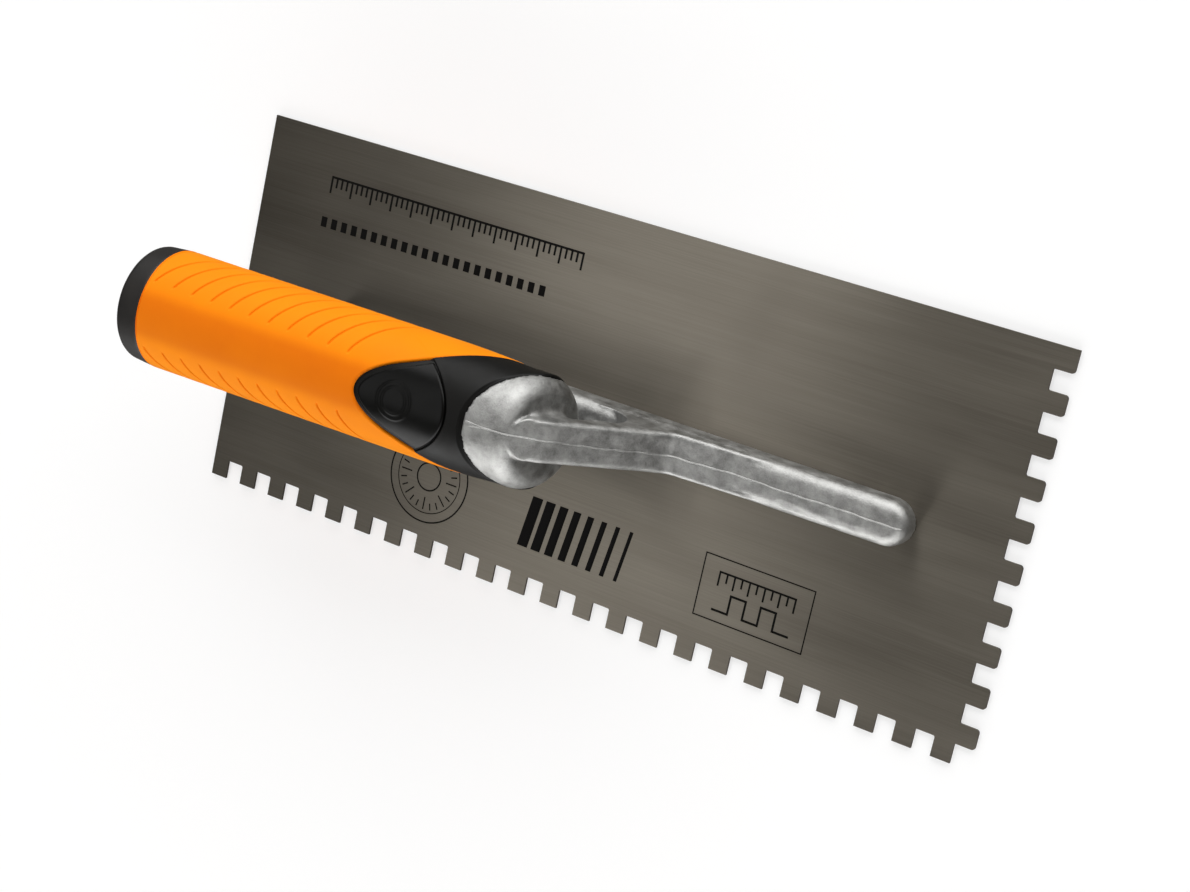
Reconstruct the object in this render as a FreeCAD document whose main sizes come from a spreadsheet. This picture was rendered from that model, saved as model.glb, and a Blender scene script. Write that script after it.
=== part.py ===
import FreeCAD, Part
import math
import os
import Sketcher

# A notched trowel: a thin steel blade with square notches along one long and one short edge,
# a cast aluminium bracket riveted along its middle, and a round two-colour handle on the
# bracket's tang. Millimetres. +X runs from the plain short edge to the notched one, +Y to the
# plain long edge and +Z up from the blade's working face; the origin is that face's centre.

Vec = FreeCAD.Vector

DIMENSIONS = (
    ("blade_length", 276.0),
    ("blade_width", 120.6),
    ("blade_thickness", 0.8),
    ("notch_size", 6.0),
    ("notch_pitch", 12.0),
    ("long_notches", 22),
    ("short_notches", 9),
    ("root_radius", 0.5),
    ("tip_radius", 1.0),
    ("rivet_count", 6),
    ("rivet_first", -90.0),
    ("rivet_spacing", 34.0),
    ("rivet_shank_radius", 2.0),
    ("rivet_head_radius", 3.4),
    ("rivet_length", 4.6),
    ("bar_width", 13.5),
    ("bar_rear", -103.0),
    ("bar_front", 105.5),
    ("bar_crest_x", 30.0),
    ("bar_rear_height", 4.6),
    ("bar_crest_height", 9.6),
    ("bar_front_height", 7.4),
    ("bar_edge_radius", 4.2),
    ("arm_width", 12.6),
    ("arm_edge_radius", 1.3),
    ("nose_depth", 8.0),
    ("handle_tilt", 2.03),
    ("handle_rear_x", -137.2),
    ("handle_rear_z", 45.2),
    ("cap_length", 9.0),
    ("cap_end_radius", 18.2),
    ("cap_round", 2.2),
    ("cap_floor", 4.5),
    ("cap_wall", 1.6),
    ("cap_ring", 2.6),
    ("grip_rear_radius", 18.75),
    ("grip_front_radius", 18.25),
    ("neck_start", 110.0),
    ("neck_end", 134.0),
    ("neck_radius", 17.2),
    ("neck_bulge", 0.71),
    ("core_radius", 16.6),
    ("opening_tip", 89.2),
    ("rim_u", 141.7),
    ("rim_tilt", 42.4),
    ("collar_end", 144.5),
    ("collar_end_tilt", 13.0),
    ("collar_round", 6.0),
    ("pad_tip", 91.6),
    ("pad_corner_u", 110.8),
    ("pad_corner_y", 13.0),
    ("pad_front", 121.0),
    ("pad_gap", 0.15),
    ("spigot_radius", 8.0),
    ("spigot_start", 112.0),
    ("tang_radius", 5.0),
    ("tang_start", 15.5),
    ("tang_gap", 0.1),
    ("bore_start", 14.0),
    ("butt_bore_radius", 10.0),
    ("thread_radius", 3.0),
    ("screw_length", 14.0),
    ("screw_head_radius", 5.5),
    ("screw_head_height", 3.6),
    ("washer_radius", 9.0),
    ("washer_thickness", 1.4),
)

doc = FreeCAD.newDocument("notched_trowel")


def make_sheet():
    """The driving dimensions: one row each, its name in column A and its aliased value in B."""
    made = doc.addObject("Spreadsheet::Sheet", "dims")
    for row, (alias, number) in enumerate(DIMENSIONS, start=1):
        made.set(f"A{row}", alias)
        made.set(f"B{row}", str(number))
        made.setAlias(f"B{row}", alias)
    doc.recompute()
    return made


dims = make_sheet()


def value(expression):
    """An expression's number, in millimetres or degrees."""
    return float(dims.evalExpression(str(expression)))


def new_body(name):
    made = doc.addObject("PartDesign::Body", name)
    made.Label = name
    return made


def origin_feature(body, role):
    return next(f for f in body.Origin.OriginFeatures if f.Role == role)


def new_sketch(body, name, plane="XY_Plane", height=None):
    """A sketch on one of the body's own origin planes, raised by height along its normal."""
    made = body.newObject("Sketcher::SketchObject", name)
    made.AttachmentSupport = [(origin_feature(body, plane), "")]
    made.MapMode = "FlatFace"
    if height:
        made.setExpression("AttachmentOffset.Base.z", height)
    return made


def fix_point(sketch, geometry, end, point):
    """Ties one end of a sketch's geometry to two expressions."""
    for kind, expression in zip(("DistanceX", "DistanceY"), point):
        index = sketch.addConstraint(
            Sketcher.Constraint(kind, -1, 1, geometry, end, value(expression))
        )
        sketch.setExpression(f"Constraints[{index}]", str(expression))


def outline(sketch, corners):
    """A closed outline: a corner is (x, y), or (x, y, via_x, via_y) if an arc through via leaves it."""
    flat = [Vec(value(c[0]), value(c[1]), 0) for c in corners]
    for i, corner in enumerate(corners):
        start, end = flat[i], flat[(i + 1) % len(flat)]
        if len(corner) == 2:
            index = sketch.addGeometry(Part.LineSegment(start, end), False)
            fix_point(sketch, index, 1, corner)
            fix_point(sketch, index, 2, corners[(i + 1) % len(corners)][:2])
        else:
            add_arc(sketch, corner, corners[(i + 1) % len(corners)], start, end)


def add_arc(sketch, corner, after, start, end):
    """An arc from corner to the next one, held by both ends and by a point that it passes through.

    A sketch numbers an arc's ends anticlockwise, so a clockwise one is drawn from its far end."""
    via = Vec(value(corner[2]), value(corner[3]), 0)
    ends = [(start, corner[:2]), (end, after[:2])]
    if (via - start).cross(end - via).z < 0:
        ends.reverse()
    index = sketch.addGeometry(Part.Arc(ends[0][0], via, ends[1][0]), False)
    fix_point(sketch, index, 1, ends[0][1])
    fix_point(sketch, index, 2, ends[1][1])
    point = sketch.addGeometry(Part.Point(via), True)
    fix_point(sketch, point, 1, corner[2:])
    sketch.addConstraint(Sketcher.Constraint("PointOnObject", point, 1, index))


def add_axis(sketch, start, end):
    """A construction line for a revolved feature to turn about: the sketch's Axis0."""
    ends = [Vec(value(x), value(y), 0) for x, y in (start, end)]
    index = sketch.addGeometry(Part.LineSegment(*ends), True)
    fix_point(sketch, index, 1, start)
    fix_point(sketch, index, 2, end)


def pad(body, sketch, length, midplane=False):
    made = body.newObject("PartDesign::Pad", sketch.Name + "_pad")
    made.Profile = sketch
    made.setExpression("Length", length)
    made.Midplane = midplane
    return made


def cut_through(body, sketch):
    """A pocket both ways through the whole body."""
    before = settled_volume(body)
    made = body.newObject("PartDesign::Pocket", sketch.Name + "_cut")
    made.Profile = sketch
    made.Type = "ThroughAll"
    made.Midplane = True
    assert settled_volume(body) < before - 1e-6, sketch.Name
    return made


def settled_volume(body):
    doc.recompute()
    return body.Shape.Volume


def turn(body, sketch, kind="Revolution", axis="H_Axis"):
    """A full turn of the sketch about one of its axes, added (Revolution) or removed (Groove)."""
    before = settled_volume(body) if kind == "Groove" else 0.0
    made = body.newObject("PartDesign::" + kind, sketch.Name + "_turn")
    made.Profile = sketch
    made.ReferenceAxis = (sketch, [axis])
    made.Angle = 360.0
    doc.recompute()
    assert kind != "Groove" or body.Shape.Volume < before - 1e-6, sketch.Name
    return made


def row_of(body, feature, axis, spacing, count):
    """Repeats a feature in a line: count times, spacing apart."""
    made = body.newObject("PartDesign::LinearPattern", feature.Name + "_row")
    made.Originals = [feature]
    made.Direction = (feature.Profile[0], [axis])
    made.setExpression("Length", f"{spacing} * ({count} - 1)")
    made.setExpression("Occurrences", count)
    body.Tip = made
    doc.recompute()
    return made


def fillet(body, base, radius, wanted):
    """Rounds those edges of a feature for which wanted(edge) is true."""
    doc.recompute()
    names = [f"Edge{i}" for i, e in enumerate(base.Shape.Edges, start=1) if wanted(e)]
    made = body.newObject("PartDesign::Fillet", base.Name + "_fillet")
    made.Base = (base, names)
    made.setExpression("Radius", radius)
    doc.recompute()
    return made


KEEP = 1 - math.sqrt(0.5)  # how far along each side a quarter circle's middle lies, per radius


def rounded(x, y, back, onward, radius):
    """Two corners that replace a square one at (x, y) by an arc.

    back and onward are unit steps from the corner, to where the path comes from and goes to."""
    enter = [f"{v} + {s} * {radius}" for v, s in zip((x, y), back)]
    leave = [f"{v} + {s} * {radius}" for v, s in zip((x, y), onward)]
    via = [f"{v} + ({a} + {b}) * {KEEP} * {radius}" for v, a, b in zip((x, y), back, onward)]
    return [(*enter, *via), tuple(leave)]


# --- blade -----------------------------------------------------------------------------------

HALF_LENGTH = "dims.blade_length / 2"
HALF_WIDTH = "dims.blade_width / 2"
ROOT = "dims.root_radius"
TIP = "dims.tip_radius"
PAST = 2.0  # how far a cutting outline runs past the edge that it cuts


def blade():
    body = new_body("blade")
    sheet = new_sketch(body, "sheet")
    outline(
        sheet,
        [
            (f"-{HALF_LENGTH}", f"-{HALF_WIDTH}"),
            (HALF_LENGTH, f"-{HALF_WIDTH}"),
            (HALF_LENGTH, HALF_WIDTH),
            (f"-{HALF_LENGTH}", HALF_WIDTH),
        ],
    )
    pad(body, sheet, "dims.blade_thickness")
    long_edge_notches(body)
    short_edge_notches(body)
    notch_corner(body)
    countersinks(body)
    return body


def long_edge_notches(body):
    """Square notches with sharp tooth tips, the first one tooth in from the plain short edge."""
    left = f"-{HALF_LENGTH} + dims.notch_size"
    right = f"-{HALF_LENGTH} + 2 * dims.notch_size"
    root = f"-{HALF_WIDTH} + dims.notch_size"
    mouth = f"-{HALF_WIDTH} - {PAST}"
    sketch = new_sketch(body, "long_notch")
    outline(
        sketch,
        [
            (left, mouth),
            *rounded(left, root, (0, -1), (1, 0), ROOT),
            *rounded(right, root, (-1, 0), (0, -1), ROOT),
            (right, mouth),
        ],
    )
    row_of(body, cut_through(body, sketch), "H_Axis", "dims.notch_pitch", "dims.long_notches")


def short_edge_notches(body):
    """Square notches with rounded tooth tips, the first above the tooth at the notched corner."""
    low = f"-{HALF_WIDTH} + 2 * dims.notch_size"
    high = f"-{HALF_WIDTH} + 3 * dims.notch_size"
    root = f"{HALF_LENGTH} - dims.notch_size"
    mouth = f"{HALF_LENGTH} + {PAST}"
    sketch = new_sketch(body, "short_notch")
    outline(
        sketch,
        [
            (mouth, f"{low} - {TIP}"),
            *tooth_tip(low, -1),
            *rounded(root, low, (1, 0), (0, 1), ROOT),
            *rounded(root, high, (0, -1), (1, 0), ROOT),
            *reversed_tip(high),
            (mouth, f"{high} + {TIP}"),
        ],
    )
    row_of(body, cut_through(body, sketch), "V_Axis", "dims.notch_pitch", "dims.short_notches")


def tooth_tip(side, away):
    """The rounded tip of a short-edge tooth whose flank is at y = side: from the edge to the flank."""
    return [
        (
            HALF_LENGTH,
            f"{side} + {away} * {TIP}",
            f"{HALF_LENGTH} - {KEEP} * {TIP}",
            f"{side} + {away} * {KEEP} * {TIP}",
        ),
        (f"{HALF_LENGTH} - {TIP}", side),
    ]


def reversed_tip(side):
    """The same rounding on the tooth above, from its flank to the edge."""
    return [
        (
            f"{HALF_LENGTH} - {TIP}",
            side,
            f"{HALF_LENGTH} - {KEEP} * {TIP}",
            f"{side} + {KEEP} * {TIP}",
        ),
        (HALF_LENGTH, f"{side} + {TIP}"),
    ]


def notch_corner(body):
    """The corner where the two notched edges meet is cut away by one notch."""
    root_x = f"{HALF_LENGTH} - dims.notch_size"
    root_y = f"-{HALF_WIDTH} + dims.notch_size"
    sketch = new_sketch(body, "corner_notch")
    outline(
        sketch,
        [
            (root_x, f"-{HALF_WIDTH} - {PAST}"),
            *rounded(root_x, root_y, (0, -1), (1, 0), ROOT),
            *reversed_tip(root_y),
            (f"{HALF_LENGTH} + {PAST}", f"{root_y} + {TIP}"),
            (f"{HALF_LENGTH} + {PAST}", f"-{HALF_WIDTH} - {PAST}"),
        ],
    )
    cut_through(body, sketch)


def countersinks(body):
    """Conical rivet seats, widest at the working face."""
    sketch = new_sketch(body, "countersink", "XZ_Plane")
    centre = "dims.rivet_first"
    add_axis(sketch, (centre, "0"), (centre, "dims.blade_thickness"))
    outline(
        sketch,
        [
            (centre, "0"),
            (f"{centre} + dims.rivet_head_radius", "0"),
            (f"{centre} + dims.rivet_shank_radius", "dims.blade_thickness"),
            (centre, "dims.blade_thickness"),
        ],
    )
    hole = turn(body, sketch, "Groove", "Axis0")
    row_of(body, hole, "H_Axis", "dims.rivet_spacing", "dims.rivet_count")


def blade_rivets():
    """Rivets through the blade into the bar, each flush with the working face: one solid each."""
    thickness, thin = value("dims.blade_thickness"), value("dims.rivet_shank_radius")
    head = Part.makeCone(value("dims.rivet_head_radius"), thin, thickness)
    shank = Part.makeCylinder(thin, value("dims.rivet_length"), Vec(0, 0, thickness))
    rivet = head.fuse(shank).removeSplitter()
    solids = []
    for i in range(int(value("dims.rivet_count"))):
        x = value("dims.rivet_first") + i * value("dims.rivet_spacing")
        solids.append(rivet.translated(Vec(x, 0, 0)))
    made = doc.addObject("Part::Feature", "blade_rivets")
    made.Shape = Part.Compound(solids)
    return made


# --- bracket ---------------------------------------------------------------------------------

FACE = "dims.blade_thickness"  # the blade's upper face, where the bar stands
HALF_BAR = "dims.bar_width / 2"


def bracket_bar():
    """The long bar on the blade: round ended, its top a shallow arch with rounded shoulders."""
    body = new_body("bracket_bar")
    plan = new_sketch(body, "bar_plan", height=FACE)
    rear, front = f"dims.bar_rear + {HALF_BAR}", f"dims.bar_front - {HALF_BAR}"
    outline(
        plan,
        [
            (rear, f"-{HALF_BAR}"),
            (front, f"-{HALF_BAR}", "dims.bar_front", "0"),
            (front, HALF_BAR),
            (rear, HALF_BAR, "dims.bar_rear", "0"),
        ],
    )
    pad(body, plan, "2 * dims.bar_crest_height")
    above = new_sketch(body, "bar_top", "XZ_Plane")
    roof = f"{FACE} + 3 * dims.bar_crest_height"
    outline(
        above,
        [
            (
                f"dims.bar_rear - {PAST}",
                f"{FACE} + dims.bar_rear_height",
                "dims.bar_crest_x",
                f"{FACE} + dims.bar_crest_height",
            ),
            (f"dims.bar_front + {PAST}", f"{FACE} + dims.bar_front_height"),
            (f"dims.bar_front + {PAST}", roof),
            (f"dims.bar_rear - {PAST}", roof),
        ],
    )
    top_cut = cut_through(body, above)
    lowest = value(FACE) + 1.0
    fillet(body, top_cut, "dims.bar_edge_radius", lambda e: min(v.Z for v in e.Vertexes) > lowest)
    rivet_bores(body)
    return body


def rivet_bores(body):
    """Blind bores under the bar for the rivet shanks."""
    sketch = new_sketch(body, "rivet_bore", "XZ_Plane")
    centre = "dims.rivet_first"
    top = f"{FACE} + dims.rivet_length"
    add_axis(sketch, (centre, FACE), (centre, top))
    outline(
        sketch,
        [
            (centre, FACE),
            (f"{centre} + dims.rivet_shank_radius", FACE),
            (f"{centre} + dims.rivet_shank_radius", top),
            (centre, top),
        ],
    )
    bore = turn(body, sketch, "Groove", "Axis0")
    row_of(body, bore, "H_Axis", "dims.rivet_spacing", "dims.rivet_count")


# The arm's side view. Its front face runs down from the nose to a bend, the knee and the toe on
# the bar; its back leaves the collar, turns round the finger gap and ends on the bar's rear half.
NOSE_CENTRE = (8.1, 50.96)
NOSE_SLOPE = 44.2  # how far the nose's flat face dips, in degrees
NOSE_BEND = (11.2, 47.7)
ARM_BEND = (13.5, 44.3)
KNEE_TOP = (31.56, 13.97)
KNEE_MIDDLE = (32.82, 12.66)
KNEE_FOOT = (34.54, 12.04)
ARM_TOE = (66.0, 8.4)
NOSE_BACK = (-2.1, 48.4)
GAP_TOP = (18.9, 23.8)
GAP_MIDDLE = (17.0, 14.5)
GAP_FOOT = (5.0, 9.0)
HEEL_X = -8.0
ARM_FRONT = (ARM_TOE, KNEE_FOOT, KNEE_TOP, ARM_BEND, NOSE_CENTRE)


def bracket_arm():
    """The arm from the bar's knee up to the collar: flat faced, with narrow rounded shoulders."""
    body = new_body("bracket_arm")
    side = new_sketch(body, "arm_side", "XZ_Plane")
    foot = f"{FACE} + dims.rivet_length + 0.6"
    outline(
        side,
        [
            (ARM_TOE[0], foot),
            ARM_TOE,
            (*KNEE_FOOT, *KNEE_MIDDLE),
            KNEE_TOP,
            (*ARM_BEND, *NOSE_BEND),
            NOSE_CENTRE,
            NOSE_BACK,
            (*GAP_TOP, *GAP_MIDDLE),
            GAP_FOOT,
            (HEEL_X, foot),
        ],
    )
    made = pad(body, side, "dims.arm_width", midplane=True)
    fillet(body, made, "dims.arm_edge_radius", along_front)
    return body


def bracket_nose():
    """The arm's flat round end on the collar: half a disc that dips with the arm's front face."""
    made = doc.addObject("Part::Cylinder", "bracket_nose")
    made.setExpression("Radius", "dims.arm_width / 2")
    made.setExpression("Height", "dims.nose_depth")
    made.Angle = 180
    x, z = NOSE_CENTRE
    dip = FreeCAD.Rotation(Vec(0, 1, 0), NOSE_SLOPE)
    half_turn = FreeCAD.Rotation(Vec(0, 0, 1), 90)
    depth = dip.multVec(Vec(0, 0, value("dims.nose_depth")))
    made.Placement = FreeCAD.Placement(Vec(x, 0, z) - depth, dip.multiply(half_turn))
    return made


def near(vertex, point):
    return math.hypot(vertex.X - point[0], vertex.Z - point[1]) < 1e-3


def along_front(edge):
    """Whether an edge borders the arm's front face at the side."""
    half = value("dims.arm_width / 2")
    ends = [v for v in edge.Vertexes if abs(abs(v.Y) - half) < 1e-3]
    return len(ends) == 2 and ends[0].Y * ends[1].Y > 0 and all(on_front(v) for v in ends)


def on_front(vertex):
    return any(near(vertex, point) for point in ARM_FRONT)


REACH = 22.0  # how far above and below the handle's axis a cutting outline runs


def handle_placement():
    """The handle's own frame: +X along its axis from the butt, tilted nose down."""
    base = Vec(value("dims.handle_rear_x"), 0, value("dims.handle_rear_z"))
    return FreeCAD.Placement(base, FreeCAD.Rotation(Vec(0, 1, 0), value("dims.handle_tilt")))


def bind_to_handle(made):
    """Places an object in the handle's frame, bound to the sheet."""
    made.Placement = handle_placement()
    made.setExpression("Placement.Base.x", "dims.handle_rear_x")
    made.setExpression("Placement.Base.z", "dims.handle_rear_z")
    made.setExpression("Placement.Rotation.Angle", "dims.handle_tilt")
    return made


def rim_line():
    """Side view of the handle's front rim, downwards: slanted above the axis, upright below it."""
    slope = "tan(dims.rim_tilt * 1 deg)"
    return [
        (f"dims.rim_u - {REACH} * {slope}", f"{REACH}"),
        (f"dims.rim_u - 4 * {slope}", "4", "dims.rim_u - 0.9", "0"),
        ("dims.rim_u + 0.2", "-4"),
        ("dims.rim_u + 0.2", f"-{REACH}"),
    ]


def bracket_collar():
    """The collar on the handle's rim: as round as the neck, with a well rounded, leaning end."""
    body = bind_to_handle(new_body("bracket_collar"))
    profile = new_sketch(body, "collar_profile", "XZ_Plane")
    rear, front = "dims.rim_u - 20", "dims.collar_end + 10"
    outline(
        profile,
        [(rear, "0"), (rear, "dims.neck_radius"), (front, "dims.neck_radius"), (front, "0")],
    )
    turn(body, profile)
    end = new_sketch(body, "collar_end", "XZ_Plane")
    lean = f"{REACH} * tan(dims.collar_end_tilt * 1 deg)"
    past = f"dims.collar_end + 2 * {REACH}"
    outline(
        end,
        [
            (f"dims.collar_end - {lean}", f"{REACH}"),
            (f"dims.collar_end + {lean}", f"-{REACH}"),
            (past, f"-{REACH}"),
            (past, f"{REACH}"),
        ],
    )
    end_centre = value("dims.collar_end")

    def round_the_end(edge):
        return isinstance(edge.Curve, Part.Ellipse) and abs(edge.Curve.Center.x - end_centre) < 1.0

    fillet(body, cut_through(body, end), "dims.collar_round", round_the_end)
    behind = new_sketch(body, "behind_rim", "XZ_Plane")
    back = f"dims.rim_u - 2 * {REACH}"
    outline(behind, [*rim_line(), (back, f"-{REACH}"), (back, f"{REACH}")])
    cut_through(body, behind)
    return body


def bracket_tang():
    """The tang inside the handle: a stout spigot, then a rod to the butt, drilled for the screw."""
    body = bind_to_handle(new_body("bracket_tang"))
    profile = new_sketch(body, "tang_profile", "XZ_Plane")
    end = "dims.rim_u + 0.5"
    outline(
        profile,
        [
            ("dims.tang_start", "dims.thread_radius"),
            ("dims.tang_start", "dims.tang_radius"),
            ("dims.spigot_start", "dims.tang_radius"),
            ("dims.spigot_start + 4", "dims.spigot_radius"),
            (end, "dims.spigot_radius"),
            (end, "0"),
            ("dims.tang_start + dims.screw_length", "0"),
            ("dims.tang_start + dims.screw_length", "dims.thread_radius"),
        ],
    )
    turn(body, profile)
    return body


def bracket():
    """One casting: bar, arm, collar and tang."""
    made = doc.addObject("Part::MultiFuse", "bracket")
    made.Shapes = [bracket_bar(), bracket_arm(), bracket_nose(), bracket_collar(), bracket_tang()]
    made.Refine = True
    return made


# --- handle ----------------------------------------------------------------------------------


def skin(start, end):
    """The handle's outer line from start to end, as corners of an outline: (u, radius)."""
    slope = "(dims.grip_front_radius - dims.grip_rear_radius) / (dims.neck_start - dims.cap_length)"
    middle = "(dims.neck_start + dims.neck_end) / 2"
    share = "dims.neck_bulge"
    return [
        (start, f"dims.grip_rear_radius + {slope} * ({start} - dims.cap_length)"),
        (
            "dims.neck_start",
            "dims.grip_front_radius",
            middle,
            f"{share} * dims.grip_front_radius + (1 - {share}) * dims.neck_radius",
        ),
        ("dims.neck_end", "dims.neck_radius"),
        (end, "dims.neck_radius"),
    ]


FRONT = "dims.rim_u + 20"


def opening_line():
    """Side view of the sleeve's slanted front edge, from above the tip to below the handle."""
    return [
        ("dims.opening_tip - 4.2", "19.6"),
        ("dims.opening_tip + 11.3", "15.0", "dims.opening_tip + 25.3", "9.0"),
        ("dims.opening_tip + 36.3", "0"),
        ("dims.opening_tip + 50.9", "-21"),
    ]


def cut_rim(body):
    """Cuts away what lies in front of the rim."""
    sketch = new_sketch(body, "rim", "XZ_Plane")
    past = f"dims.rim_u + 2 * {REACH}"
    outline(sketch, [*rim_line(), (past, f"-{REACH}"), (past, f"{REACH}")])
    cut_through(body, sketch)


def grip_sleeve():
    """The soft sleeve: a tapered tube, open on top at the front in a pointed window."""
    body = bind_to_handle(new_body("grip_sleeve"))
    tube = new_sketch(body, "sleeve_tube", "XZ_Plane")
    outline(
        tube,
        [
            ("dims.cap_length", "dims.core_radius"),
            *skin("dims.cap_length", FRONT),
            (FRONT, "dims.core_radius"),
        ],
    )
    turn(body, tube)
    window = new_sketch(body, "sleeve_window", "XZ_Plane")
    outline(window, [*opening_line(), (f"{FRONT} + 5", "-21"), (f"{FRONT} + 5", "19.6")])
    cut_through(body, window)
    cut_pad_seat(body)
    return body


def pad_outline(grow):
    """The thumb pad's plan, grown by a margin: a pointed leaf with a round front."""
    corner_u, corner_y = "dims.pad_corner_u", f"dims.pad_corner_y + {grow}"
    via_u, via_y = "dims.pad_tip + 7", f"8.3 + {grow}"
    tip = f"dims.pad_tip - {grow}"
    return [
        (tip, "0", via_u, via_y),
        (corner_u, corner_y, f"dims.pad_front + {grow}", "0"),
        (corner_u, f"-({corner_y})", via_u, f"-({via_y})"),
    ]


def cut_pad_seat(body):
    """Clears the thumb pad's place, upwards from the handle's axis."""
    seat = new_sketch(body, "pad_seat")
    outline(seat, pad_outline("dims.pad_gap"))
    before = settled_volume(body)
    pocket = body.newObject("PartDesign::Pocket", "pad_seat_cut")
    pocket.Profile = seat
    pocket.Type = "ThroughAll"
    pocket.Reversed = True
    assert settled_volume(body) < before


def handle_core():
    """The hard core: a cylinder under the sleeve that fills the window and carries the rim."""
    body = bind_to_handle(new_body("handle_core"))
    nose = new_sketch(body, "core_nose", "XZ_Plane")
    start = "dims.opening_tip - 2"
    outline(nose, [(start, "0"), *skin(start, FRONT), (FRONT, "0")])
    turn(body, nose)
    behind = new_sketch(body, "core_behind_window", "XZ_Plane")
    outline(behind, [*opening_line(), (f"{start} - 5", "-21"), (f"{start} - 5", "19.6")])
    cut_through(body, behind)
    cut_pad_seat(body)
    inner = new_sketch(body, "core_inner", "XZ_Plane")
    outline(
        inner,
        [
            ("dims.cap_length", "0"),
            ("dims.cap_length", "dims.core_radius"),
            (FRONT, "dims.core_radius"),
            (FRONT, "0"),
        ],
    )
    turn(body, inner)
    core_bore(body)
    cut_rim(body)
    return body


def core_bore(body):
    """The bore for the tang and its spigot, with a wide counterbore at the butt for the washer."""
    sketch = new_sketch(body, "core_bore", "XZ_Plane")
    rod = "dims.tang_radius + dims.tang_gap"
    wide = "dims.spigot_radius + dims.tang_gap"
    outline(
        sketch,
        [
            (f"dims.cap_length - {PAST}", "0"),
            (f"dims.cap_length - {PAST}", "dims.butt_bore_radius"),
            ("dims.bore_start", "dims.butt_bore_radius"),
            ("dims.bore_start", rod),
            ("dims.spigot_start - 0.2", rod),
            ("dims.spigot_start + 3.8", wide),
            (f"{FRONT} + {PAST}", wide),
            (f"{FRONT} + {PAST}", "0"),
        ],
    )
    turn(body, sketch, "Groove")


def thumb_pad():
    """The hard glossy insert in the window, flush with the handle's skin."""
    body = bind_to_handle(new_body("thumb_pad"))
    plan = new_sketch(body, "pad_plan")
    outline(plan, pad_outline("0"))
    pad(body, plan, "dims.grip_rear_radius + 2")
    outside = new_sketch(body, "pad_outside", "XZ_Plane")
    roof = "dims.grip_rear_radius + 12"
    start = "dims.opening_tip - 8"
    outline(outside, [*skin(start, FRONT), (FRONT, roof), (start, roof)])
    turn(body, outside, "Groove")
    inside = new_sketch(body, "pad_inside", "XZ_Plane")
    outline(
        inside,
        [(start, "0"), (start, "dims.core_radius"), (FRONT, "dims.core_radius"), (FRONT, "0")],
    )
    turn(body, inside, "Groove")
    return body


def end_cap():
    """The butt cap: a rounded disc, hollow over the screw head, with a ring that plugs the core."""
    body = bind_to_handle(new_body("end_cap"))
    profile = new_sketch(body, "cap_profile", "XZ_Plane")
    hollow = "dims.butt_bore_radius - dims.cap_wall"
    ring = "dims.butt_bore_radius - dims.tang_gap"
    ring_end = "dims.cap_length + dims.cap_ring"
    outline(
        profile,
        [
            ("0", "0"),
            *rounded("0", "dims.cap_end_radius", (0, -1), (1, 0), "dims.cap_round"),
            ("dims.cap_length", "dims.grip_rear_radius"),
            ("dims.cap_length", ring),
            (ring_end, ring),
            (ring_end, hollow),
            ("dims.cap_floor", hollow),
            ("dims.cap_floor", "0"),
        ],
    )
    turn(body, profile)
    return body


def tang_washer():
    """The washer under the screw head, on the floor of the core's counterbore."""
    body = bind_to_handle(new_body("tang_washer"))
    profile = new_sketch(body, "washer_profile", "XZ_Plane")
    rear, front = "dims.bore_start - dims.washer_thickness", "dims.bore_start"
    hole = "dims.thread_radius + 0.2"
    outline(
        profile,
        [(rear, hole), (rear, "dims.washer_radius"), (front, "dims.washer_radius"), (front, hole)],
    )
    turn(body, profile)
    return body


def tang_screw():
    """The screw that draws the tang through the core: a chamfered head on a plain shank."""
    body = bind_to_handle(new_body("tang_screw"))
    profile = new_sketch(body, "screw_profile", "XZ_Plane")
    seat = "dims.bore_start - dims.washer_thickness"
    back = f"{seat} - dims.screw_head_height"
    outline(
        profile,
        [
            (back, "0"),
            (back, "dims.screw_head_radius - 1.2"),
            (f"{back} + 1.2", "dims.screw_head_radius"),
            (seat, "dims.screw_head_radius"),
            (seat, "dims.thread_radius"),
            ("dims.tang_start + dims.screw_length - 1", "dims.thread_radius"),
            ("dims.tang_start + dims.screw_length - 1", "0"),
        ],
    )
    turn(body, profile)
    return body


# --- check and write -------------------------------------------------------------------------


def check(nodes):
    """Stops on any object that did not compute, and on any node without a valid solid."""
    doc.recompute()
    for made in doc.Objects:
        assert not {"Invalid", "Error"} & set(made.State), (made.Name, made.State)
    for node in nodes:
        shape = node.Shape
        assert not shape.isNull() and shape.isValid() and shape.Solids, node.Label
        print(f"{node.Label:14s} {len(shape.Solids)} solid(s) {shape.Volume / 1000:8.2f} cm3")


def main():
    nodes = [
        blade(),
        blade_rivets(),
        bracket(),
        handle_core(),
        grip_sleeve(),
        thumb_pad(),
        end_cap(),
        tang_washer(),
        tang_screw(),
    ]
    check(nodes)
    os.makedirs("parts", exist_ok=True)
    for node in nodes:
        node.Shape.exportStep(os.path.join("parts", node.Label + ".step"))


main()
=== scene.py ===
import bpy
import math
import numpy as np
from mathutils import Matrix, Vector
from mathutils.bvhtree import BVHTree


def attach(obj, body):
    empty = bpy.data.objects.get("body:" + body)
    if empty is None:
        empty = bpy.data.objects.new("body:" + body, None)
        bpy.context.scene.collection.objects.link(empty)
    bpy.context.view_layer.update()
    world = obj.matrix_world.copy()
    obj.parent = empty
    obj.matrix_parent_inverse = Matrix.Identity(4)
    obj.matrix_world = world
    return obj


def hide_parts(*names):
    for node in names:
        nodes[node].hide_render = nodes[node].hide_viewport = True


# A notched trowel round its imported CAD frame: a brushed steel blade with printed marks, a cast
# bracket with the flash of its parting line, and a two-colour handle. Lengths are in
# millimetres up to the point where vertices are made; Blender's own unit is the metre.

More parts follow.
